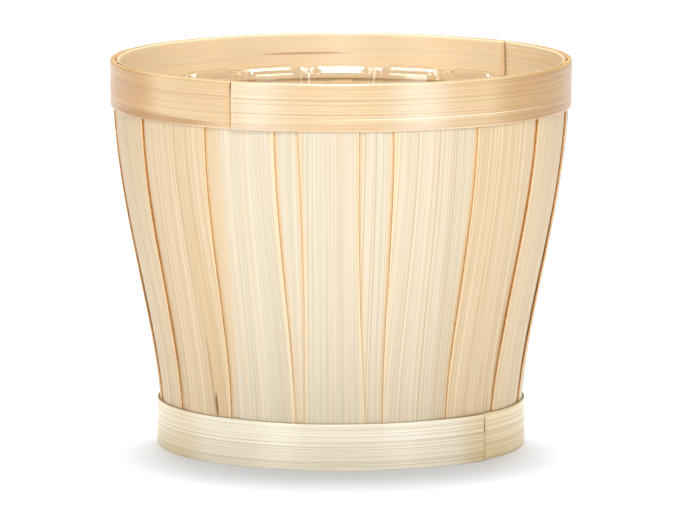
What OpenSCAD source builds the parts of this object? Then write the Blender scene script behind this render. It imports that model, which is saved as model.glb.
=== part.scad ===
// Round planter basket: bamboo veneer staves, shingled around a base disc and
// clamped between an outer and an inner hoop at the rim and at the foot, with a
// clear thin-walled liner that drops in from above.
// Origin: centre of the face it stands on. +Z up, -Y is the front.
// Azimuths count from the front, positive towards +X.

/* [Basket] */
// Outer diameter of the rim hoop
rim_d = 150; // [144:1:160]
// Outer diameter of the foot hoop
foot_d = 120; // [114:1:126]
// Overall height
height = 126; // [116:1:140]
// Height of both rim hoops
rim_band = 15.2; // [12:0.2:18]
// Height of the outer foot hoop
foot_band = 15.3; // [13:0.1:18]
// How much of the side's taper gathers in its middle
side_swell = 0.63; // [0.3:0.01:0.9]

/* [Veneer] */
// Thickness of the hoop strips
hoop_t = 0.8; // [0.6:0.05:1]
// Angle over which a hoop's lapped end thins away
lap_angle = 26; // [15:1:40]
// Thickness of the staves
stave_t = 0.5; // [0.4:0.05:0.5]

/* [Base] */
// Height of the inner foot hoop, which carries the base disc
base_lift = 8; // [5:0.5:10]
// Thickness of the base disc
base_t = 2.5; // [1.5:0.5:3]

/* [Liner] */
// Wall thickness of the clear liner
liner_t = 0.6; // [0.5:0.05:0.8]
// Outer radius of the liner's wall at its floor
liner_foot_r = 53; // [48:0.5:53]
// Outer radius of the liner's wall under its flange
liner_top_r = 66; // [60:0.5:67]
// Drop from the top of the rim to the top of the liner
liner_drop = 10.3; // [6:0.1:14]

/* [Hidden] */

// How the staves are laid. Each row: azimuth of the stave's middle at the rim and
// at the foot, width on a 150 mm rim, and the seat of its left and right edge,
// where 1 lies on its neighbour and -1 is tucked under it.
STAVES = [
    [ -3.0,  -1.9, 19.1,  1,  1],
    [  8.9,   9.9, 22.0, -1, -1],
    [ 25.8,  29.0, 32.0,  1, -1],
    [ 48.3,  50.0, 31.0,  1, -1],
    [ 71.5,  71.8, 33.0,  1, -1],
    [ 93.3,  94.2, 34.0,  1, -1],
    [117.6, 118.3, 34.0,  1, -1],
    [141.8, 142.4, 34.0,  1, -1],
    [166.1, 166.5, 34.0,  1,  1],
    [190.4, 190.5, 34.0, -1,  1],
    [214.7, 214.6, 34.0, -1,  1],
    [238.9, 238.7, 34.0, -1,  1],
    [263.2, 262.8, 34.0, -1,  1],
    [287.5, 283.3, 33.0, -1,  1],
    [311.5, 307.6, 32.0, -1,  1],
    [332.3, 331.9, 28.0, -1,  1],
    [346.8, 348.6, 19.0, -1, -1]];

// Azimuth of each hoop's seam, and the side that its lapped end runs to
RIM_OUTER_SEAM = [-27.4, 1];
RIM_INNER_SEAM = [130.6, 1];
FOOT_OUTER_SEAM = [49.4, -1];
FOOT_INNER_SEAM = [200, 1];

width_scale = rim_d / 150;
// The bend centre of a shingled stave is shifted sideways by this much, which
// lifts one edge over its neighbour and tucks the other under
stave_shift = 2.84 * stave_t;
// A stave that lies on or under both neighbours stands out or in by this much
stave_step = 0.76 * stave_t;
// A lapped end is bounded by a circle shifted this far towards its seam
lap_shift = hoop_t / (1 - cos(lap_angle));
// Radial room that the shingled staves take between the hoops
seat = 2.6 * stave_t + 0.16;
// Staves end this far inside the hoops' edges
stave_inset = 0.3;

rim_mid_r = rim_d / 2 - hoop_t - seat / 2;
foot_mid_r = foot_d / 2 - hoop_t - seat / 2;
side_low_z = foot_band;
side_high_z = height - rim_band;
side_mid_z = (side_low_z + side_high_z) / 2;
// Half the angle that a stave is turned through before it is cut to width
stave_sweep = 22;
// Straight facets along the bent side of a stave
side_steps = 12;
// Points of a liner corner
corner_steps = 5;

base_r = foot_mid_r - seat / 2 - 0.1;
liner_floor_z = base_lift + base_t;
liner_corner = 3;
liner_shoulder = 2.2;
liner_flange_r = liner_top_r + 3.8;
liner_shoulder_z = height - liner_drop - liner_t - liner_shoulder;
// Reach of the blocks that cut the shapes to size
reach = rim_d;
$fn = 180;

// Middle radius of the stave wall at height z: straight inside the hoops, and a
// soft S between them
function side_r(z) =
    let (u = pow(max(0, min(1, (z - side_low_z) / (side_high_z - side_low_z))), 0.93),
         s = (1 - side_swell) * u + side_swell * u * u * (3 - 2 * u))
    foot_mid_r + (rim_mid_r - foot_mid_r) * s;

function side_heights() =
    concat([stave_inset],
           [for (i = [0 : side_steps])
               side_low_z + (side_high_z - side_low_z) * i / side_steps],
           [height - stave_inset]);

function arc_points(centre, r, from, to) =
    [for (i = [0 : corner_steps])
        let (a = from + (to - from) * i / corner_steps)
        centre + r * [cos(a), sin(a)]];

function stave_name(i) = str("stave_", i < 9 ? "0" : "", i + 1);

function reversed(points) = [for (i = [len(points) - 1 : -1 : 0]) points[i]];

module stave_profile(offset_r) {
    heights = side_heights();
    inner = [for (z = heights) [side_r(z) + offset_r - stave_t / 2, z]];
    outer = [for (z = heights) [side_r(z) + offset_r + stave_t / 2, z]];
    polygon(concat(inner, reversed(outer)));
}

// One bent strip, cut to a constant width and leaning a little as it was laid
module stave(row) {
    rim_az = row[0];
    foot_az = row[1];
    width = row[2] * width_scale;
    tilt = (row[4] - row[3]) / 2;
    layer = (row[4] + row[3]) / 2;
    az = (rim_az + foot_az) / 2;
    rim_aside = rim_mid_r * sin(rim_az - az);
    foot_aside = foot_mid_r * sin(foot_az - az);
    lean = atan((rim_aside - foot_aside) / (side_high_z - side_low_z));
    rotate([0, 0, az - 90])
        intersection() {
            translate([0, tilt * stave_shift, 0])
                rotate_extrude(angle = 2 * stave_sweep, start = -stave_sweep)
                    stave_profile(layer * stave_step);
            translate([foot_mid_r, (rim_aside + foot_aside) / 2, side_mid_z])
                rotate([-lean, 0, 0])
                    cube([reach / 2, width, 2 * height], center = true);
        }
}

// The quarter of the plane at one side of a seam that lies along local +X
module seam_side(side) {
    translate([0, side > 0 ? 0 : -reach]) square([reach, reach]);
}

// A strip bent round and glued, whose lapped end lies outside and thins away
module hoop_lapped_outside(inner_r, h, seam) {
    outer_r = inner_r + hoop_t;
    linear_extrude(height = h)
        difference() {
            union() {
                circle(r = outer_r);
                rotate(seam[0] - 90)
                    intersection() {
                        translate([lap_shift, 0])
                            circle(r = outer_r + hoop_t - lap_shift);
                        seam_side(seam[1]);
                    }
            }
            circle(r = inner_r);
        }
}

// The same, with the lapped end inside
module hoop_lapped_inside(outer_r, h, seam) {
    inner_r = outer_r - hoop_t;
    linear_extrude(height = h)
        difference() {
            circle(r = outer_r);
            difference() {
                circle(r = inner_r);
                rotate(seam[0] - 90)
                    difference() {
                        seam_side(seam[1]);
                        translate([-lap_shift, 0])
                            circle(r = inner_r - hoop_t + lap_shift);
                    }
            }
        }
}

module rim_hoop_outer() {
    color("#ecd2a4")
        translate([0, 0, height - rim_band])
            hoop_lapped_outside(rim_d / 2 - hoop_t, rim_band, RIM_OUTER_SEAM);
}

module rim_hoop_inner() {
    color("#eecf9f")
        translate([0, 0, height - rim_band])
            hoop_lapped_inside(rim_mid_r - seat / 2, rim_band, RIM_INNER_SEAM);
}

module foot_hoop_outer() {
    color("#ede5cb")
        hoop_lapped_outside(foot_d / 2 - hoop_t, foot_band, FOOT_OUTER_SEAM);
}

module foot_hoop_inner() {
    color("#e6d6b0")
        hoop_lapped_inside(foot_mid_r - seat / 2, base_lift, FOOT_INNER_SEAM);
}

module base_disc() {
    color("#e2c896")
        translate([0, 0, base_lift]) cylinder(r = base_r, h = base_t);
}

// Thin cup with a rounded floor corner and a shoulder that turns out to a flange
module liner() {
    floor_centre = [liner_foot_r - liner_corner, liner_floor_z + liner_corner];
    shoulder_centre = [liner_top_r + liner_shoulder, liner_shoulder_z];
    top_z = liner_shoulder_z + liner_shoulder;
    outside = concat(
        [[0, liner_floor_z]],
        arc_points(floor_centre, liner_corner, -90, 0),
        arc_points(shoulder_centre, liner_shoulder, 180, 90),
        [[liner_flange_r, top_z]]);
    inside = concat(
        [[liner_flange_r, top_z + liner_t]],
        arc_points(shoulder_centre, liner_shoulder + liner_t, 90, 180),
        arc_points(floor_centre, liner_corner - liner_t, 0, -90),
        [[0, liner_floor_z + liner_t]]);
    color("#e8f0f0", 0.35)
        rotate_extrude() polygon(concat(outside, inside));
}

module laid_stave(i) {
    color(i % 2 == 0 ? "#efe2cc" : "#e9d8bb") stave(STAVES[i]);
}

rim_hoop_outer();
rim_hoop_inner();
foot_hoop_outer();
foot_hoop_inner();
base_disc();
liner();
for (i = [0 : len(STAVES) - 1])
    laid_stave(i);
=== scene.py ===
# Round planter basket: shingled bamboo veneer staves clamped between hoops at the
# rim and at the foot, with a clear fluted liner. Sizes are in metres unless a comment
# says millimetres. Azimuths are in degrees from the front (-Y), positive towards +X.
import math
from collections import namedtuple

import bmesh
import bpy
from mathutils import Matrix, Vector, noise


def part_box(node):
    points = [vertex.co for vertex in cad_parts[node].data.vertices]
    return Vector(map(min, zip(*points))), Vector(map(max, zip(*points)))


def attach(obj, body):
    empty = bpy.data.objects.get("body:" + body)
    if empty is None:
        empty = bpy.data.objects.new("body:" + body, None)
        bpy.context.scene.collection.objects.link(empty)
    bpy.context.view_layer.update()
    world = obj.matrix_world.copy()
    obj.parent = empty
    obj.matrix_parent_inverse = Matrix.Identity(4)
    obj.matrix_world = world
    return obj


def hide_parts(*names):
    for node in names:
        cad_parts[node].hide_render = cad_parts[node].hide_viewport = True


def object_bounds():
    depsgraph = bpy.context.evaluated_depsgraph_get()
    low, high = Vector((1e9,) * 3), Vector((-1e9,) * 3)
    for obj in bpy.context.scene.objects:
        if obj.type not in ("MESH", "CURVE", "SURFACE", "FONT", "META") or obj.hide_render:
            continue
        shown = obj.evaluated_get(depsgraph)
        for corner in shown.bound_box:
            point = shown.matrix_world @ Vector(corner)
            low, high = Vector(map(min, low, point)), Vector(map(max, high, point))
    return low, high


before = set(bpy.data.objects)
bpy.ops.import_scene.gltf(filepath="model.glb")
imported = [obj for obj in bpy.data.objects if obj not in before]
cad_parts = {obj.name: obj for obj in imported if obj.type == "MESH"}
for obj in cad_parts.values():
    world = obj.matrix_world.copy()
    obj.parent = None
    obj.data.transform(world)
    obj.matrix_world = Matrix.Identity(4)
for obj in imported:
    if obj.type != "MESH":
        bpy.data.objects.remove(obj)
cad_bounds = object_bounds()

MM = 0.001

# Veneer
STAVE_T = 0.5 * MM          # thickness of a stave
CUT_ROUND = 0.1 * MM        # rounding of a stave's cut edges
RELAX = 0.32                # how far a stave flattens between the hoops, 0 to 1
BELLY = 0.2 * MM            # outward push of the whole wall at mid height
HOLLOW = 0.9 * MM           # how much a narrow strip's edges draw in at mid height
FULL = 0.3 * MM             # and a broad one's stand out
NARROW, BROAD = 19 * MM, 33 * MM
DIP = 5 * MM                # a tucked edge goes under its neighbour over this width
TUCK_GAP = 0.04 * MM        # between a stave and the one it lies on
RIPPLE = 0.05 * MM          # unevenness of a stave's face
EDGE_WANDER = 0.06 * MM     # and of its cut edges
SIDE_SWELL = 0.63           # share of the S curve in the wall's slope
SIDE_BIAS = 0.93            # below 1 it brings the slope lower down
SNUG = 0.27 * MM            # how far an inner hoop presses on the staves
LAP = 26                    # degrees over which a hoop's under end thins away
END_LIFT = 0.16 * MM        # how far a hoop's glued end stands off
END_TURN = 3                # degrees before its tip where it starts to
HOOP_WANDER = 0.10 * MM     # unevenness of a hoop's edges
HOOP_RIPPLE = 0.04 * MM     # and of its face

# Liner
LINER_T = 0.6 * MM
LINER_FOOT_R = 53 * MM      # outside radius at the floor
LINER_TOP_R = 66 * MM       # and below the shoulder
LINER_CORNER = 3 * MM       # rounding between floor and wall
LINER_SHOULDER = 2.2 * MM   # and between wall and rim
PANELS = 18
PITCH = 360 / PANELS        # degrees from panel to panel
PANEL_TURN = 180            # azimuth of the middle of one panel
RIB_OUT = 1.1 * MM          # how far the ribs between panels stand out
RIB_BUBBLES = 0.35 * MM     # unevenness of the pressed ribs
PANEL_WAVE = 0.10 * MM      # and of the panels
RIM_DIP = 0.9 * MM          # how far a rib dents the liner's rim

# Camera and lights
CAMERA_DISTANCE = 2.4243
CAMERA_ELEVATION = 8.096    # degrees above the horizon
CAMERA_AZIMUTH = -0.023
CAMERA_LENS = 382.5         # millimetres, on a sensor 36 mm wide
CAMERA_AIM_X = 2.9 * MM
CAMERA_AIM_HEIGHT = 0.4667  # share of the object's height
LIGHT_DISTANCE = 2.6
LIGHT_AIM_Z = 0.07          # the height that the softboxes face
WORLD_LIGHT = 0.33          # what the white surroundings add to matt surfaces
WORLD_GLOSS = 0.3           # and what glossy ones mirror
FLOOR_COLOUR = (0.84, 0.87, 0.925, 1.0)
WHITE = (1.0, 1.0, 1.0)
WARM_WHITE = (1.0, 0.9, 0.7)


# ---------------------------------------------------------------- small maths
def lerp(a, b, t):
    return a + (b - a) * t


def smooth(t):
    t = max(0.0, min(1.0, t))
    return t * t * (3 - 2 * t)


def wave(*at):
    """Smooth fixed noise from -1 to 1."""
    return noise.noise(Vector(at + (0.0,) * (3 - len(at)))) * 1.6


def polar(azimuth, radius, z):
    """The point at an azimuth in degrees."""
    a = math.radians(azimuth)
    return Vector((radius * math.sin(a), -radius * math.cos(a), z))


def azimuth_of(point):
    return math.degrees(math.atan2(point.x, -point.y))


def turned(azimuth):
    """The same azimuth between -180 and 180."""
    return (azimuth + 180) % 360 - 180


def corners_of(node):
    return [v.co.copy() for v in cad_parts[node].data.vertices]


# ---------------------------------------------------------------- shader nodes
def linear(hex_colour):
    """A six-digit sRGB colour as linear RGBA."""
    parts = [int(hex_colour[i:i + 2], 16) / 255 for i in (0, 2, 4)]
    return tuple(c / 12.92 if c <= 0.04045 else ((c + 0.055) / 1.055) ** 2.4
                 for c in parts) + (1.0,)


class Shader:
    """A material and short ways to add nodes to it."""

    def __init__(self, name):
        self.material = bpy.data.materials.new(name)
        self.material.use_nodes = True
        self.tree = self.material.node_tree
        self.tree.nodes.clear()
        self.output = self.tree.nodes.new("ShaderNodeOutputMaterial")

    def add(self, kind, settings=None, **sockets):
        node = self.tree.nodes.new(kind)
        for key, value in (settings or {}).items():
            setattr(node, key, value)
        for key, value in sockets.items():
            self.feed(node.inputs[key.replace("_", " ")], value)
        return node

    def feed(self, socket, value):
        if isinstance(value, bpy.types.NodeSocket):
            self.tree.links.new(value, socket)
        else:
            socket.default_value = value

    def math(self, operation, a, b=0.0, c=0.0):
        node = self.tree.nodes.new("ShaderNodeMath")
        node.operation = operation
        for socket, value in zip(node.inputs, (a, b, c)):
            self.feed(socket, value)
        return node.outputs[0]

    def fade(self, value, start, end, low=0.0, high=1.0):
        """low where value is at start, high where it is at end, smooth between."""
        node = self.tree.nodes.new("ShaderNodeMapRange")
        node.interpolation_type = "SMOOTHSTEP"
        swap = start > end
        ends = (end, start, high, low) if swap else (start, end, low, high)
        for socket, number in zip(node.inputs, (value,) + ends):
            self.feed(socket, number)
        return node.outputs[0]

    def mix(self, share, a, b, blend="MIX"):
        node = self.tree.nodes.new("ShaderNodeMix")
        node.data_type = "RGBA"
        node.blend_type = blend
        for socket, value in zip((node.inputs[0], node.inputs[6], node.inputs[7]),
                                 (share, a, b)):
            self.feed(socket, value)
        return node.outputs[2]

    def uv(self, layer):
        """The two numbers of a UV layer."""
        node = self.add("ShaderNodeUVMap", {"uv_map": layer})
        split = self.add("ShaderNodeSeparateXYZ", Vector=node.outputs[0])
        return split.outputs[0], split.outputs[1]

    def streaks(self, across, along, width, length, seed, detail=2.0, rough=0.5):
        """Noise drawn out along the grain: width and length are one streak's size."""
        at = self.add("ShaderNodeCombineXYZ",
                      X=self.math("MULTIPLY", across, 1 / width),
                      Y=self.math("MULTIPLY", along, 1 / length), Z=seed)
        node = self.add("ShaderNodeTexNoise", Vector=at.outputs[0], Scale=1.0,
                        Detail=detail, Roughness=rough, Distortion=0.0)
        return node.outputs[0]

    def spot_share(self, spot, place_x, place_y, ragged):
        """A spot's strength at a place, with its outline made ragged by a noise."""
        off_x = self.math("DIVIDE", self.math("SUBTRACT", place_x, spot.x), spot.half_x)
        off_y = self.math("DIVIDE", self.math("SUBTRACT", place_y, spot.y), spot.half_y)
        away = self.math("ADD", self.math("MULTIPLY", off_x, off_x),
                         self.math("MULTIPLY", off_y, off_y))
        away = self.math("ADD", away, self.math("SUBTRACT", ragged, 0.5))
        return self.fade(away, 1.0, 0.25, 0.0, spot.strength)

    def principled(self, **sockets):
        return self.add("ShaderNodeBsdfPrincipled", **sockets)

    def finish(self, shader):
        self.tree.links.new(shader.outputs[0], self.output.inputs[0])
        return self.material


Spot = namedtuple("Spot", "x y half_x half_y colour strength")
HOOP_MID = 7.6              # millimetres from a hoop's lower edge to its middle


def spot(x, y, half_x, half_y, colour, strength):
    """A spot on the 'place' layer: its middle and half its size, in millimetres."""
    return Spot(x * MM, y * MM, half_x * MM, half_y * MM, colour, strength)


def stretch(x, half_x, colour, strength):
    """A spot over a hoop's whole height."""
    return spot(x, HOOP_MID, half_x, 30, colour, strength)


def bamboo(name, light, dark, line, tint_a, tint_b, seed, gloss=0.42, pale_fibre_and_edge_glint="f6dcae",
           lines=0.55, ior=1.5, grain_sheen=0.75, size=1.0, painted_edge_glow_and_shade=None,
           bands=(), painted_shade_spots=(), marks=()):
    """Bamboo veneer. light and dark are the fibres' colours, line the thin dark
    bundles', and tint_a and tint_b the casts of broader bands. The pale colour is that
    of some fibres, and also a painted highlight along cut edges. The edge triple is (a
    painted warm glow near an edge, a painted crevice shade where the next strip lies
    over this one, that painted shade's depth). Each band is (from height, to height,
    colour, strength) on the 'place' layer. marks are spots there, and the multiplying
    spots are painted shade that lets the grain show."""
    s = Shader(name)
    across, along = s.uv("grain")
    to_edge, to_lap = s.uv("edge")
    place_x, place_y = s.uv("place")

    # Noises drawn out along the grain, each by its own width
    fine = s.streaks(across, along, size * 0.26 * MM, 60 * MM, seed, 2.0, 0.6)
    middling = s.streaks(across, along, size * 0.7 * MM, 160 * MM, seed + 7, 2.0)
    broad = s.streaks(across, along, 6 * MM, 300 * MM, seed + 19, 1.0)
    cast = s.streaks(across, along, 2.2 * MM, 260 * MM, seed + 31, 1.0)
    bundles = s.streaks(across, along, size * 0.36 * MM, 330 * MM, seed + 43, 0.0)
    threads = s.streaks(across, along, size * 0.3 * MM, 420 * MM, seed + 71, 0.0)
    pale = s.streaks(across, along, size * 0.42 * MM, 380 * MM, seed + 57, 0.0)

    # Fibres and broader casts
    share = s.math("MULTIPLY_ADD", s.fade(fine, 0.33, 0.67), 0.4,
                   s.math("MULTIPLY", s.fade(middling, 0.36, 0.64), 0.45))
    share = s.math("MULTIPLY_ADD", s.math("SUBTRACT", broad, 0.5), 0.8, share)
    colour = s.mix(share, linear(light), linear(dark))
    colour = s.mix(s.fade(cast, 0.53, 0.70, 0.0, 0.42), colour, linear(tint_a))
    colour = s.mix(s.fade(cast, 0.47, 0.30, 0.0, 0.42), colour, linear(tint_b))
    # A painted warm glow near the cut edges and beside a neighbour's lapping edge
    if painted_edge_glow_and_shade:
        warm, painted_crevice_shade, crevice_shade_depth = painted_edge_glow_and_shade
        near = s.math("MINIMUM", to_edge, to_lap)
        colour = s.mix(s.fade(near, 2.4 * MM, 0.4 * MM, 0.0, 0.45),
                       colour, linear(warm))

    # Pale fibres, dark bundles and threads. What is dark is duller than polished skin
    colour = s.mix(s.fade(pale, 0.56, 0.70, 0.0, 0.6 * lines + 0.1),
                   colour, linear(pale_fibre_and_edge_glint))
    bundle_share = s.fade(bundles, 0.55, 0.67, 0.0, lines)
    colour = s.mix(bundle_share, colour, linear(line))
    shine = s.math("MULTIPLY_ADD", bundle_share, -0.7, 1.0)
    colour = s.mix(s.fade(threads, 0.56, 0.67, 0.0, 0.8 * lines), colour, linear(dark))

    # Painted highlights along cut edges, painted crevice shade beside the next strip's
    # edge, bands and spots
    colour = s.mix(s.fade(to_edge, 0.6 * MM, 0.1 * MM, 0.0, 0.55),
                   colour, linear(pale_fibre_and_edge_glint))
    if painted_edge_glow_and_shade:
        crevice_shade_share = s.math("MULTIPLY", s.fade(to_lap, 1.3 * MM, 0.25 * MM), s.fade(
            place_y, 15 * MM, 85 * MM, 0.1 * crevice_shade_depth, crevice_shade_depth))
        colour = s.mix(crevice_shade_share, colour, linear(painted_crevice_shade))
        shine = s.math("MULTIPLY", shine, s.math("MULTIPLY_ADD", crevice_shade_share, -0.9, 1.0))
    for start, end, band_colour, strength in bands:
        colour = s.mix(s.fade(place_y, start, end, 0.0, strength),
                       colour, linear(band_colour))
    # Multiplying spots are painted shade that lets the grain show; dark spots of either
    # kind dull the shine
    for blend, full_shine, spots in (("MULTIPLY", 2.2, painted_shade_spots), ("MIX", 1.6, marks)):
        for each in spots:
            share = s.spot_share(each, place_x, place_y, fine)
            spot_colour = linear(each.colour)
            colour = s.mix(share, colour, spot_colour, blend)
            dulling = 1 - sum(spot_colour[:3]) / full_shine
            if dulling > 0:
                shine = s.math("MULTIPLY", shine,
                               s.math("MULTIPLY_ADD", share, -dulling, 1.0))

    height = s.math("MULTIPLY_ADD", fine, 0.6,
                    s.math("MULTIPLY_ADD", middling, 0.4,
                           s.math("MULTIPLY", bundles, -0.4)))
    bump = s.add("ShaderNodeBump", Height=height, Strength=0.3, Distance=0.1 * MM)
    tangent = s.add("ShaderNodeTangent", {"direction_type": "UV_MAP",
                                          "uv_map": "grain"})
    return s.finish(s.principled(
        Base_Color=colour,
        Roughness=s.fade(fine, 0.3, 0.7, gloss - 0.06, gloss + 0.12),
        IOR=ior, Specular_IOR_Level=shine, Anisotropic=grain_sheen,
        Normal=bump.outputs[0], Tangent=tangent.outputs[0]))


def cut_edge(name, colour, deep):
    """The sawn side of a strip: darker, with the fibres' ends."""
    s = Shader(name)
    across, along = s.uv("grain")
    speck = s.streaks(across, along, 0.4 * MM, 1.2 * MM, 3.0, 3.0)
    shade = s.mix(s.fade(speck, 0.35, 0.7), linear(colour), linear(deep))
    bump = s.add("ShaderNodeBump", Height=speck, Strength=0.3, Distance=0.1 * MM)
    return s.finish(s.principled(Base_Color=shade, Roughness=0.62,
                                 Normal=bump.outputs[0]))


# ---------------------------------------------------------------- mesh building
class Surface:
    """Points, faces and the UV numbers that the shaders read, in metres. 'grain' is
    across and along the fibres. 'place' is sideways and upwards on a strip, counted on
    a hoop from its seam and lower edge. 'edge' is how far the nearest cut edge is, and
    how far the nearest edge of a neighbour that lies over a stave, or 1 for none."""

    LAYERS = ("grain", "place", "edge")

    def __init__(self):
        self.points = []
        self.uvs = {layer: [] for layer in self.LAYERS}
        self.faces = []
        self.slots = []

    def point(self, co, grain=(0.0, 0.0), place=(0.0, 0.0), edge=(1.0, 1.0)):
        self.points.append(co)
        for layer, uv in zip(self.LAYERS, (grain, place, edge)):
            self.uvs[layer].append(uv)
        return len(self.points) - 1

    def face(self, corners, slot=0):
        self.faces.append(corners)
        self.slots.append(slot)

    def loft(self, rings, slot_of):
        """Joins rings of points into a tube. Its flat ends take slot 1."""
        count = len(rings[0])
        for ring, after in zip(rings, rings[1:]):
            for k in range(count):
                n = (k + 1) % count
                self.face((ring[k], ring[n], after[n], after[k]), slot_of(k))
        for ring in (rings[0], rings[-1]):
            for k in range(count // 2 - 1):
                self.face((ring[k], ring[k + 1],
                           ring[count - 2 - k], ring[count - 1 - k]), 1)

    def spin(self, profile, turns, placed, slot_of=lambda k: 0, hub_edge=(1.0, 1.0)):
        """Sets a profile round the axis and closes both ends with a flat fan. placed
        gives a point's place and UV numbers from its azimuth, radius and height."""
        rings = []
        for i in range(turns):
            rings.append([self.point(*placed(360 * i / turns, r, z))
                          for r, z in profile])
        neighbours = list(zip(rings, rings[1:] + rings[:1]))
        for ring, after in neighbours:
            for k in range(len(profile) - 1):
                self.face((ring[k], ring[k + 1], after[k + 1], after[k]), slot_of(k))
        for k in (0, len(profile) - 1):
            hub = self.point(Vector((0, 0, profile[k][1])), edge=hub_edge)
            for ring, after in neighbours:
                self.face((ring[k], after[k], hub))

    def made(self, name, materials, sharp=38):
        """The finished object. Edges sharper than an angle in degrees stay sharp."""
        mesh = bpy.data.meshes.new(name)
        mesh.from_pydata(self.points, [], self.faces)
        for layer in self.LAYERS:
            data = mesh.uv_layers.new(name=layer).data
            for loop in mesh.loops:
                data[loop.index].uv = self.uvs[layer][loop.vertex_index]
        for material in materials:
            mesh.materials.append(material)
        for polygon, slot in zip(mesh.polygons, self.slots):
            polygon.material_index = slot
            polygon.use_smooth = True
        work = bmesh.new()
        work.from_mesh(mesh)
        bmesh.ops.recalc_face_normals(work, faces=work.faces)
        work.to_mesh(mesh)
        work.free()
        mesh.set_sharp_from_angle(angle=math.radians(sharp))
        piece = bpy.data.objects.new(name, mesh)
        bpy.context.scene.collection.objects.link(piece)
        return piece


# ---------------------------------------------------------------- the CAD's sizes
class Hoop:
    """A hoop's radii, heights and seam, measured from its CAD solid. wall is the
    radius of the face that lies on the staves, and outward is 1 or -1."""

    def __init__(self, node, outward):
        points = corners_of(node)
        low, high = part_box(node)
        radii = [math.hypot(p.x, p.y) for p in points]
        self.node = node
        self.outward = outward
        self.low, self.high = low.z, high.z
        self.wall = min(radii) if outward > 0 else max(radii)
        tip = max(radii) if outward > 0 else min(radii)
        self.thickness = abs(tip - self.wall) / 2
        self.seam = azimuth_of(points[radii.index(tip)])


rim_outer = Hoop("rim_hoop_outer", 1)
rim_inner = Hoop("rim_hoop_inner", -1)
foot_outer = Hoop("foot_hoop_outer", 1)
foot_inner = Hoop("foot_hoop_inner", -1)
RIM_R = (rim_outer.wall + rim_inner.wall) / 2
FOOT_R = (foot_outer.wall + foot_inner.wall) / 2
SIDE_LOW, SIDE_HIGH = foot_outer.high, rim_outer.low


def up_side(z):
    """Share of the way from the foot hoop up to the rim hoop, 0 to 1."""
    return max(0.0, min(1.0, (z - SIDE_LOW) / (SIDE_HIGH - SIDE_LOW)))


def side_radius(z):
    """Middle radius of the stave wall: straight in the hoops, a soft S between."""
    u = up_side(z) ** SIDE_BIAS
    return lerp(FOOT_R, RIM_R, lerp(u, u * u * (3 - 2 * u), SIDE_SWELL))


def swell(z):
    """0 in the hoops, 1 halfway between them."""
    u = up_side(z)
    return math.sin(math.pi * u) ** 0.9 if 0 < u < 1 else 0.0


class Stave:
    """The middle surface of one strip, measured from its CAD solid. side is -1 for
    the edge at the lower azimuth and 1 for the other."""

    def __init__(self, node, index):
        points = corners_of(node)
        self.node, self.index = node, index
        self.low = min(p.z for p in points)
        self.high = max(p.z for p in points)
        rough = azimuth_of(sum(points, Vector()))
        spread = [turned(azimuth_of(p) - rough) for p in points]
        self.azimuth = rough + (min(spread) + max(spread)) / 2
        # By end (0 foot, 1 rim) and side: the corner's sideways place, and how far it
        # stands out from the wall's middle
        self.corners = {}
        for end, z in enumerate((self.low, self.high)):
            rows = []
            for p in points:
                if abs(p.z - z) < 0.01 * MM:
                    radius = math.hypot(p.x, p.y)
                    off = math.radians(turned(azimuth_of(p) - self.azimuth))
                    rows.append((radius * math.sin(off), radius))
            for side in (-1, 1):
                tip = max(side * y for y, _ in rows)
                near = [row for row in rows if side * row[0] > tip - 0.05 * MM]
                y = sum(row[0] for row in near) / len(near)
                radius = sum(row[1] for row in near) / len(near)
                self.corners[end, side] = (y, radius - side_radius(z))
        width = self.corners[1, 1][0] - self.corners[1, -1][0]
        self.trim = lerp(HOLLOW, -FULL, smooth((width - NARROW) / (BROAD - NARROW)))
        self.laps = {side: self.corners[1, side][1] > 0 for side in (-1, 1)}
        self.proud = [max(abs(self.corners[end, side][1]) for side in (-1, 1))
                      for end in (0, 1)]

    def edge(self, side, z):
        """Sideways place of one edge at height z. A lapping edge isn't quite
        straight."""
        t = (z - self.low) / (self.high - self.low)
        y = lerp(self.corners[0, side][0], self.corners[1, side][0], t)
        return y - side * self.trim * swell(z) if self.laps[side] else y

    def seat(self, z):
        """How far the stave's open part stands out from the wall's middle."""
        return lerp(*self.proud, (z - self.low) / (self.high - self.low))

    def edge_azimuth(self, side, z):
        return self.azimuth + math.degrees(math.asin(self.edge(side, z)
                                                     / side_radius(z)))


stave_nodes = sorted(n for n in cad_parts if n.startswith("stave_"))
staves = [Stave(node, i) for i, node in enumerate(stave_nodes)]


# ---------------------------------------------------------------- pieces
def relaxed(stave, y, z, limits):
    """Radial place of a strip across its width. limits are where its neighbours'
    edges lie: between them it flattens, past them a lapping edge lifts and a tucked
    one lies under its neighbour."""
    relax = RELAX * (0.9 + 0.2 * wave(stave.index * 3.7, 0.5))
    curve = relax * swell(z) / (2 * side_radius(z))
    left, right = limits
    held = lerp(left * left, right * right, smooth((y - left) / (right - left)))
    shift = curve * (y * y - held)
    open_seat = seat = stave.seat(z)
    for side, limit in ((-1, left), (1, right)):
        past = side * (y - limit)
        if stave.laps[side]:
            if past > 0:
                curl = 0.45 + 0.3 * wave(stave.index * 5.1, side * 2.0, z / (30 * MM))
                shift = curve * curl * (y * y - limit * limit)
        else:
            tucked = open_seat - STAVE_T - TUCK_GAP
            seat = min(seat, lerp(tucked, open_seat, smooth(-past / DIP)))
            if past > 0:
                shift = 0.0
    return seat + shift + BELLY * swell(z)


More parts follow.
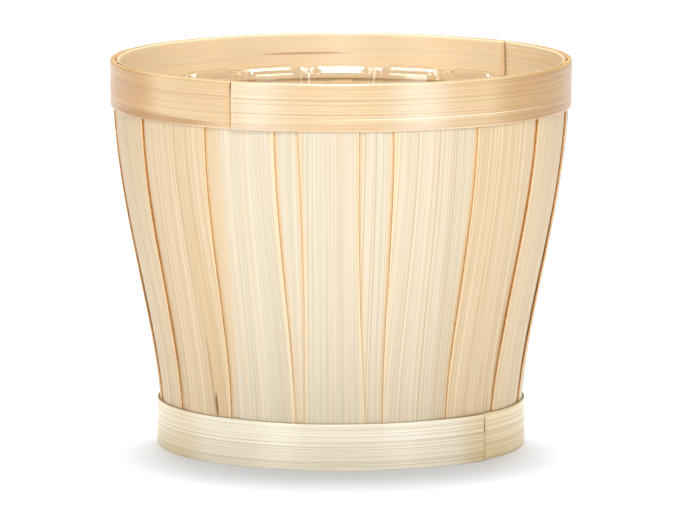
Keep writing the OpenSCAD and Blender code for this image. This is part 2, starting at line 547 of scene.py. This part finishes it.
def build_stave(stave, materials, columns=32, rows=66):
    """One strip with rounded cut edges, on or under its neighbours."""
    before = staves[stave.index - 1]
    after = staves[(stave.index + 1) % len(staves)]
    surface = Surface()
    half, bevel = STAVE_T / 2, CUT_ROUND
    cut = [(bevel, half), (0.3 * bevel, half - 0.3 * bevel), (0.0, half - bevel)]
    cut += [(inset, -off) for inset, off in reversed(cut)]
    grain_shift = 0.13 * stave.index
    rings = []
    for i in range(rows + 1):
        z = lerp(stave.low, stave.high, i / rows)
        r = side_radius(z)
        limits = tuple(
            r * math.sin(math.radians(turned(n.edge_azimuth(side, z) - stave.azimuth)))
            for n, side in ((before, 1), (after, -1)))
        left, right = (
            stave.edge(side, z)
            + EDGE_WANDER * wave(stave.index * 2.3, 14 + 3 * side, z / (20 * MM))
            for side in (-1, 1))
        face = [lerp(left + bevel, right - bevel, j / columns)
                for j in range(columns + 1)]
        section = [(y, half) for y in face[1:-1]]
        section += [(right - inset, off) for inset, off in cut]
        section += [(y, -half) for y in reversed(face[1:-1])]
        section += [(left + inset, off) for inset, off in reversed(cut)]
        ring = []
        for y, off in section:
            ripple = RIPPLE * wave(stave.index * 4.1 + y / (6 * MM), z / (50 * MM))
            ripple *= smooth(min(z - SIDE_LOW, SIDE_HIGH - z) / (10 * MM))
            radius = r + relaxed(stave, y, z, limits) + min(ripple, 0.0) + off
            a = stave.azimuth + math.degrees(math.asin(y / r))
            to_lap = min([abs(y - limit) for side, limit in zip((-1, 1), limits)
                          if not stave.laps[side]] or [1.0])
            ring.append(surface.point(
                polar(a, radius, z), grain=(y + grain_shift, z + 3 * grain_shift),
                place=(y, z), edge=(min(y - left, right - y), to_lap)))
        rings.append(ring)
    # A ring runs along the face, round one cut edge, along the back and round the other
    face_points = columns - 1
    back_start = face_points + len(cut)
    cut_starts = face_points + 1, back_start + face_points + 1

    def slot_of(k):
        if any(start <= k < start + 3 for start in cut_starts):
            return 1
        return 2 if back_start - 1 <= k < back_start + face_points else 0

    surface.loft(rings, slot_of)
    piece = surface.made(stave.node + "_veneer", materials)
    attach(piece, "basket")
    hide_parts(stave.node)
    return piece


def build_hoop(hoop, side, materials, steps_per_turn=300, rows=10):
    """A strip that starts thin under its own far end, runs once round and laps over
    its start. side is the side of the seam that the lapped end comes from."""
    surface = Surface()
    total = 360 + LAP
    steps = int(steps_per_turn * total / 360)
    on_floor = hoop.low < 0.1 * MM
    seed = hoop.seam * 0.37
    end_lift = END_LIFT if hoop.outward > 0 else 0.3 * END_LIFT
    rings = []
    turns = [total * i / steps for i in range(steps + 1)]
    # 'place' jumps from one end of its range to the other between these two
    turns = sorted(turns + [LAP + 180 - 0.001, LAP + 180 + 0.001])
    for t in turns:
        over = smooth((t - 360) / LAP)
        thick = hoop.thickness * max(0.06, smooth(t / LAP))
        near_end = smooth((t - total + END_TURN) / END_TURN)
        along = math.radians(t) * hoop.wall
        z0 = hoop.low + (0 if on_floor else HOOP_WANDER * wave(seed, t / 24))
        z1 = hoop.high + HOOP_WANDER * (wave(seed + 9, t / 20) - 0.5)
        # The rounding of the lower and upper edges towards the seen face
        deep, tall = 0.42 * thick, 0.85 * hoop.thickness
        corner = [math.radians(d) for d in (0, 25, 50, 72, 90)]
        bottom = [(thick - deep * (1 - math.sin(a)), z0 + tall * (1 - math.cos(a)))
                  for a in corner]
        top = [(d, z1 - 0.7 * (z - z0)) for d, z in reversed(bottom)]
        face = [(thick, lerp(bottom[-1][1], top[0][1], j / rows))
                for j in range(1, rows)]
        nick = min(0.06 * MM, 0.2 * thick)
        section = (bottom + face + top
                   + [(nick, z1), (0.0, z1 - nick)]
                   + [(0.0, lerp(z1 - nick, z0 + nick, j / rows))
                      for j in range(1, rows)]
                   + [(0.0, z0 + nick), (nick, z0)])
        ring = []
        for depth, z in section:
            share = (z - hoop.low) / (hoop.high - hoop.low)
            lift = end_lift * near_end * (0.35 + 0.65 * smooth(share * 1.4 - 0.4))
            jag = 0.16 * wave(seed + 3, z / (2.2 * MM)) - 0.25 * smooth(share * 5 - 4)
            turn = t + near_end * jag
            uneven = HOOP_RIPPLE * wave(seed + 5, t / 9, z / (12 * MM))
            bulge = uneven * min(1, depth / hoop.thickness)
            d = over * hoop.thickness + lift + depth + bulge + 0.02 * MM * over
            if hoop.outward < 0:
                d -= SNUG * (1 - depth / thick) * (1 - over)
            azimuth = hoop.seam + side * (LAP - turn)
            from_seam = math.radians(turned(azimuth - hoop.seam)) * hoop.wall
            ring.append(surface.point(
                polar(azimuth, hoop.wall + hoop.outward * d, z),
                grain=(z + seed * 0.01, along), place=(from_seam, z - hoop.low),
                edge=(min(z - z0, z1 - z), 1.0)))
        rings.append(ring)
    # The upper and lower edges have the cut's look, but not their rounded outer part
    count = len(section)
    first_top = len(bottom) + rows - 1
    edge_faces = {*range(first_top + 3, first_top + len(top) + 1), count - 1, count - 2}
    surface.loft(rings, lambda k: int(k in edge_faces))
    piece = surface.made(hoop.node + "_strip", materials, sharp=50)
    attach(piece, "basket")
    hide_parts(hoop.node)
    return piece


def build_base(materials):
    """The base disc: a flat board with eased edges."""
    low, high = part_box("base_disc")
    radius = (high.x - low.x) / 2
    ease = 0.35 * MM
    ripple, ripple_length = 0.03 * MM, 20 * MM
    profile = [(radius * k / 12, high.z) for k in range(1, 12)]
    profile += [(radius - ease, high.z), (radius - 0.3 * ease, high.z - 0.3 * ease),
                (radius, high.z - ease), (radius, low.z + ease),
                (radius - 0.3 * ease, low.z + 0.3 * ease), (radius - ease, low.z)]
    profile += [(radius * k / 12, low.z) for k in range(11, 0, -1)]

    def placed(azimuth, r, z):
        a = math.radians(azimuth)
        at = (r / ripple_length * math.cos(a), r / ripple_length * math.sin(a))
        p = polar(azimuth, r, z + ripple * wave(*at))
        return p, (p.x, p.y), (p.x, p.y), (radius - r, 1.0)

    def slot_of(k):
        return int(min(profile[k][0], profile[k + 1][0]) > radius - ease)

    surface = Surface()
    surface.spin(profile, 144, placed, slot_of, hub_edge=(radius, 1.0))
    piece = surface.made("base_disc_board", materials)
    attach(piece, "basket")
    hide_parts("base_disc")
    return piece


def off_panel(azimuth):
    """Degrees from the middle of the nearest panel."""
    return (azimuth - PANEL_TURN + PITCH / 2) % PITCH - PITCH / 2


def flute(azimuth):
    """0 in a panel's flat middle, 1 on the ribs between panels, with a groove."""
    from_rib = PITCH / 2 - abs(off_panel(azimuth))
    return smooth((3.8 - from_rib) / 2.0) - 0.45 * smooth((1.5 - from_rib) / 1.5)


def panel_flat(azimuth):
    """How much nearer to the axis a flat panel lies than the circle round it."""
    return math.cos(math.radians(PITCH / 2)) / math.cos(math.radians(off_panel(azimuth)))


def build_liner(materials):
    """A thin cup, fluted into flat panels, with a rounded shoulder and a rim."""
    low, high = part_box("liner")
    flange_r = (high.x - low.x) / 2
    corner, shoulder = LINER_CORNER, LINER_SHOULDER
    shoulder_z = high.z - LINER_T - shoulder
    floor_z = low.z
    outside = [(LINER_FOOT_R - corner, floor_z)]
    outside += [(LINER_FOOT_R - corner + corner * math.sin(a),
                 floor_z + corner - corner * math.cos(a))
                for a in (math.radians(d) for d in (20, 40, 60, 78))]
    outside += [(lerp(LINER_FOOT_R, LINER_TOP_R, k / 16),
                 lerp(floor_z + corner, shoulder_z, k / 16)) for k in range(17)]
    outside += [(LINER_TOP_R + shoulder - shoulder * math.cos(a),
                 shoulder_z + shoulder * math.sin(a))
                for a in (math.radians(d) for d in range(12, 85, 12))]
    outside += [(flange_r - 0.5 * MM, high.z - LINER_T)]
    # The inner face lies one thickness along the outer one's normals
    inside = []
    for k, (r, z) in enumerate(outside):
        before = Vector(outside[max(0, k - 1)])
        after = Vector(outside[min(len(outside) - 1, k + 1)])
        along = (after - before).normalized()
        inside.append((r - along.y * LINER_T, z + along.x * LINER_T))
    lip = [(flange_r - 0.12 * MM, high.z - LINER_T * 0.85),
           (flange_r, high.z - LINER_T * 0.5),
           (flange_r - 0.12 * MM, high.z - LINER_T * 0.15)]

    def placed(azimuth, r, z):
        ribs = flute(azimuth)
        # The panels and ribs fade out at the floor and on the rim
        pressed = smooth((z - floor_z - 1.5 * MM) / (12 * MM))
        pressed *= 1 - smooth((r - LINER_TOP_R - 1.2 * MM) / (2.4 * MM))
        panel_wave = PANEL_WAVE * wave(azimuth / 7, z / (6 * MM), 4.0)
        bubbles = RIB_BUBBLES * wave(azimuth / 1.6, z / (2.6 * MM), 9.0)
        radius = r * lerp(1, panel_flat(azimuth), pressed)
        radius += pressed * (RIB_OUT * ribs + panel_wave
                             + bubbles * min(1.0, 1.3 * ribs))
        dip = RIM_DIP * ribs * smooth((r - LINER_TOP_R - 0.4 * MM) / (1.5 * MM))
        around = math.radians(azimuth) * radius
        return polar(azimuth, radius, z - dip), (around, z)

    surface = Surface()
    surface.spin(outside + lip + inside[::-1], 540, placed)
    piece = surface.made("liner_cup", materials, sharp=60)
    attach(piece, "liner")
    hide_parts("liner")
    return piece


# ---------------------------------------------------------------- materials
def clear_plastic():
    """Thin clear plastic: see-through face on, bright gloss where it mirrors a light."""
    s = Shader("clear_plastic")
    across, up = s.uv("grain")
    at = s.add("ShaderNodeCombineXYZ", X=across, Y=up, Z=0.0)
    ripple = s.add("ShaderNodeTexNoise", Vector=at.outputs[0], Scale=260.0, Detail=2.0)
    bump = s.add("ShaderNodeBump", Height=ripple.outputs[0], Strength=0.2,
                 Distance=0.2 * MM)
    gloss = s.principled(Base_Color=linear("fbfbf8"), Roughness=0.1, Metallic=1.0,
                         Normal=bump.outputs[0])
    slant = s.add("ShaderNodeLayerWeight", Blend=0.5)
    tint = s.mix(s.fade(slant.outputs["Facing"], 0.86, 1.0),
                 (0.99, 0.993, 0.988, 1.0), (0.55, 0.56, 0.55, 1.0))
    clear = s.add("ShaderNodeBsdfTransparent", Color=tint)
    facing = s.add("ShaderNodeFresnel", IOR=1.45, Normal=bump.outputs[0])
    share = s.math("MULTIPLY_ADD", facing.outputs[0], 0.05, 0.07)
    both = s.add("ShaderNodeMixShader")
    for socket, value in zip(both.inputs, (share, clear.outputs[0], gloss.outputs[0])):
        s.feed(socket, value)
    return s.finish(both)


# light, dark, line, tint_a and tint_b of the staves' veneers
CREAM = "dacdb5", "c8b797", "b69b72", "cfc9ac", "dec5a8"
COOL = "dcccb0", "c8b692", "b0946a", "cac2a0", "dabf9e"
TAN = "dcc49c", "c4a678", "ac8656", "ccba8e", "dcb890"
WARM = "dec8a4", "c6a878", "b08452", "cfbc8e", "deba8e"
BACK = "fadeb2", "efca96", "d8ac70", "f0d6a4", "f4cc9c"
# Each is a painted warm glow near edges, the colour of painted shade in the crevice under
# a neighbour's edge, and that shade's strength
PALE_EDGE_GLOW_AND_SHADE = "e2c898", "dca050", 0.45
DEEP_EDGE_GLOW_AND_SHADE = "dfbe8c", "b86c0c", 0.8

stave_finish = {
    "stave_cream": bamboo("stave_cream", *CREAM, 1.0, painted_edge_glow_and_shade=PALE_EDGE_GLOW_AND_SHADE, lines=0.4),
    "stave_cool": bamboo("stave_cool", *COOL, 2.0, painted_edge_glow_and_shade=PALE_EDGE_GLOW_AND_SHADE, lines=0.42),
    "stave_tan": bamboo("stave_tan", *TAN, 3.0, painted_edge_glow_and_shade=DEEP_EDGE_GLOW_AND_SHADE, lines=0.45),
    "stave_warm": bamboo("stave_warm", *WARM, 4.0, painted_edge_glow_and_shade=DEEP_EDGE_GLOW_AND_SHADE, lines=0.45),
}
# Staves with marks of their own, by number: a tan stretch beside the left edge of one,
# short dark flecks low on another, and a knot with a streak above it on the third
marked_finish = {
    16: bamboo("stave_tan_left_margin", *CREAM, 16.0, painted_edge_glow_and_shade=PALE_EDGE_GLOW_AND_SHADE, lines=0.4,
               marks=(spot(-8, 78, 5.5, 75, "dab986", 0.6),)),
    4: bamboo("stave_flecked", *TAN, 13.0, painted_edge_glow_and_shade=DEEP_EDGE_GLOW_AND_SHADE, lines=0.45,
              marks=(spot(2.1, 18, 0.3, 4, "9a6c34", 0.75),
                     spot(-2.6, 27, 0.3, 7, "b08850", 0.5))),
    15: bamboo("stave_knotty", *WARM, 14.0, painted_edge_glow_and_shade=DEEP_EDGE_GLOW_AND_SHADE, lines=0.45,
               marks=(spot(12, 46, 3.4, 46, "d8ac74", 0.32),
                      spot(9.7, 29, 0.7, 15, "b98a58", 0.6),
                      spot(10.6, 19, 0.7, 4.8, "7c4c22", 0.85))),
}
# The staves' inner faces: a paler veneer, made lighter still as painted light against the
# shade behind the liner
stave_back = bamboo("stave_back", *BACK, 10.0, pale_fibre_and_edge_glint="fae8cc", lines=0.25)
# The veneer of each stave, from stave_01 on
STAVE_TONES = ("cream", "cream", "cool", "tan", "tan", "cream", "cool", "tan", "cream",
               "tan", "cream", "warm", "tan", "tan", "warm", "cream", "cream")

# Spots lie by their distance along the hoop from its seam
rim_finish = bamboo(
    "rim_veneer", "dcb67a", "c69a54", "9c6410", "d2b46e", "d2a660", 5.0,
    gloss=0.32, pale_fibre_and_edge_glint="f2d8a0", lines=0.42, ior=2.0, grain_sheen=0.6, size=0.7,
    bands=((2.6 * MM, 0.6 * MM, "c8985c", 0.3),),
    # painted shade: darker, more saturated and duller towards both sides of the front
    painted_shade_spots=(stretch(120, 36, "d6bc66", 0.9),
            stretch(-60, 34, "e4c668", 0.9)),
    marks=(spot(-36, 1.2, 34, 1.8, "a06810", 0.6),
           spot(66, 4, 50, 0.24, "fff4dc", 0.6),
           # painted sheen: paler where the two keys' reflections fall
           stretch(10, 13, "c8c0b0", 0.2),
           stretch(61, 14, "c8c0b0", 0.2),
           # the seam: a painted highlight on the lapping end's edge, painted contact shade
           # on the other side, and a dark joint line that is also painted shadow of the
           # gap, darkest at the top
           spot(0.8, HOOP_MID, 0.7, 15.2, "f2d6a8", 0.15),
           spot(-1.4, HOOP_MID, 1.5, 15.2, "dcaa58", 0.4),
           spot(-0.3, HOOP_MID, 0.55, 15.2, "a4660c", 0.85),
           spot(-0.3, 12.8, 0.6, 3.3, "503004", 0.9)))
rim_inner_finish = bamboo(
    "rim_veneer_inner", "f4e0be", "ead0a8", "cda676", "e8ce9a", "f0c8a0", 6.0,
    pale_fibre_and_edge_glint="ecd2a8", lines=0.4,
    bands=((8 * MM, 4 * MM, "ffdeae", 0.8),),
    # painted shade that tones down the middle, where the inside lamp is brightest
    painted_shade_spots=(stretch(70, 42, "ebeaea", 0.8),),
    marks=(spot(76, 8.6, 19, 0.5, "b47a44", 0.7),
           spot(1, HOOP_MID, 1.4, 15, "f0b878", 0.35),
           spot(0, HOOP_MID, 0.3, 15, "c8985c", 0.3)))
foot_finish = bamboo(
    "foot_veneer", "f6edd8", "e6d8b4", "a87828", "dccfa4", "e6d2a4", 7.0,
    gloss=0.34, pale_fibre_and_edge_glint="fcf4e0", lines=0.75, ior=2.0, grain_sheen=0.5, size=0.7,
    bands=((14.5 * MM, 15 * MM, "fbf0d8", 0.5),),
    # painted shade: darker and duller towards both sides
    painted_shade_spots=(stretch(14, 29, "e6d4a0", 0.9),
            stretch(-124, 27, "e8d8a8", 0.7)),
    # the seam: painted shadow on the under strip beside the step, and a dark joint line on
    # the lapping end's tip that is also painted shadow of the gap, darkest higher up
    marks=(spot(1.5, HOOP_MID, 0.6, 15, "b89858", 0.4),
           spot(-0.15, HOOP_MID, 0.45, 15, "b08030", 0.55),
           spot(-0.1, 12, 0.5, 3.6, "6c4808", 0.8)))
foot_inner_finish = bamboo("foot_veneer_inner", "dac59a", "bda26e", "a08050",
                           "cfbe90", "d8ba90", 8.0)
base_finish = bamboo("base_ply", "d6be90", "b9965f", "94703c", "c8b080", "d2ac7c", 9.0)
stave_edge = cut_edge("cut_edge", "dca868", "bf8848")
hoop_edge = cut_edge("hoop_edge", "b09a78", "a08862")
ply_edge = cut_edge("ply_edge", "d9b983", "9c7340")
liner_finish = clear_plastic()


# ---------------------------------------------------------------- assembly
for stave, tone in zip(staves, STAVE_TONES):
    slot = "stave_" + tone
    finish = marked_finish.get(stave.index + 1, stave_finish[slot])
    build_stave(stave, [finish, stave_edge, stave_back])
for hoop, side, finish, slot in (
        (rim_outer, 1, rim_finish, "rim_veneer"),
        (rim_inner, 1, rim_inner_finish, "rim_veneer_inner"),
        (foot_outer, -1, foot_finish, "foot_veneer"),
        (foot_inner, 1, foot_inner_finish, "foot_veneer_inner")):
    build_hoop(hoop, side, [finish, hoop_edge])
build_base([base_finish, ply_edge])
build_liner([liner_finish])


# ---------------------------------------------------------------- studio
def build_floor():
    """A white floor that reaches past the edge of the view."""
    mesh = bpy.data.meshes.new("floor")
    far = 14.0
    mesh.from_pydata([(-far, -far, 0), (far, -far, 0), (far, far, 0), (-far, far, 0)],
                     [], [(0, 1, 2, 3)])
    floor = bpy.data.objects.new("floor", mesh)
    s = Shader("floor_white")
    mesh.materials.append(s.finish(s.principled(
        Base_Color=FLOOR_COLOUR, Roughness=0.8, Specular_IOR_Level=0.1)))
    bpy.context.scene.collection.objects.link(floor)


def soft_light(name, azimuth, elevation, distance, size, power, tone=WHITE):
    """A softbox that faces the basket. size is its width and height, and power is in
    watts."""
    data = bpy.data.lights.new(name, "AREA")
    data.shape = "RECTANGLE"
    data.size, data.size_y = size
    data.energy = power
    data.color = tone
    light = bpy.data.objects.new(name, data)
    flat = distance * math.cos(math.radians(elevation))
    light.location = polar(azimuth, flat, distance * math.sin(math.radians(elevation)))
    aim = Vector((0, 0, LIGHT_AIM_Z)) - light.location
    light.rotation_euler = aim.to_track_quat("-Z", "Y").to_euler()
    bpy.context.scene.collection.objects.link(light)


def inside_light(elevation, distance, power):
    """A narrow lamp that shines over the front rim on the far inner wall."""
    data = bpy.data.lights.new("inside", "SPOT")
    data.energy = power
    data.shadow_soft_size = 0.12
    data.spot_size = math.radians(11)
    data.spot_blend = 0.5
    light = bpy.data.objects.new("inside", data)
    low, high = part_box("rim_hoop_inner")
    aim = Vector((0, high.y, (low.z + high.z) / 2))
    rise = math.radians(elevation)
    light.location = aim + Vector((0, -distance * math.cos(rise),
                                   distance * math.sin(rise)))
    light.rotation_euler = (aim - light.location).to_track_quat("-Z", "Y").to_euler()
    bpy.context.scene.collection.objects.link(light)


def build_camera():
    """A distant camera at the front, a little above the rim."""
    data = bpy.data.cameras.new("camera")
    data.sensor_width = 36.0
    data.lens = CAMERA_LENS
    data.clip_end = 100.0
    camera = bpy.data.objects.new("camera", data)
    low, high = cad_bounds
    aim = Vector((CAMERA_AIM_X, 0, lerp(low.z, high.z, CAMERA_AIM_HEIGHT)))
    tilt = math.radians(CAMERA_ELEVATION)
    flat, rise = CAMERA_DISTANCE * math.cos(tilt), CAMERA_DISTANCE * math.sin(tilt)
    camera.location = aim + polar(CAMERA_AZIMUTH, flat, rise)
    camera.rotation_euler = (aim - camera.location).to_track_quat("-Z", "Y").to_euler()
    bpy.context.scene.collection.objects.link(camera)
    bpy.context.scene.camera = camera


def build_world():
    """White surroundings that are dimmer in mirrors and as a light than to the eye."""
    world = bpy.data.worlds.new("studio")
    world.use_nodes = True
    tree = world.node_tree
    background = tree.nodes["Background"]
    background.inputs[0].default_value = (1.0, 1.0, 1.0, 1.0)
    path = tree.nodes.new("ShaderNodeLightPath")
    level = WORLD_LIGHT
    for ray, strength in (("Is Glossy Ray", WORLD_GLOSS), ("Is Camera Ray", 1.0)):
        choice = tree.nodes.new("ShaderNodeMix")
        choice.data_type = "FLOAT"
        tree.links.new(path.outputs[ray], choice.inputs[0])
        if isinstance(level, float):
            choice.inputs[2].default_value = level
        else:
            tree.links.new(level, choice.inputs[2])
        choice.inputs[3].default_value = strength
        level = choice.outputs[0]
    tree.links.new(level, background.inputs[1])
    bpy.context.scene.world = world


build_floor()
build_world()
for name, azimuth in (("key_left", -39), ("key_right", 39)):
    soft_light(name, azimuth, 11, LIGHT_DISTANCE, (0.7, 1.2), 10.9)
for name, azimuth in (("side_left", -102), ("side_right", 102)):
    soft_light(name, azimuth, 12, LIGHT_DISTANCE, (0.8, 1.4), 4.5, WARM_WHITE)
soft_light("front", 0, 27, LIGHT_DISTANCE, (1.0, 0.7), 7)
soft_light("back", 180, 77, 2.8, (1.4, 1.6), 113)
inside_light(40, 1.6, 66)
build_camera()
bpy.context.scene.view_settings.view_transform = "Standard"
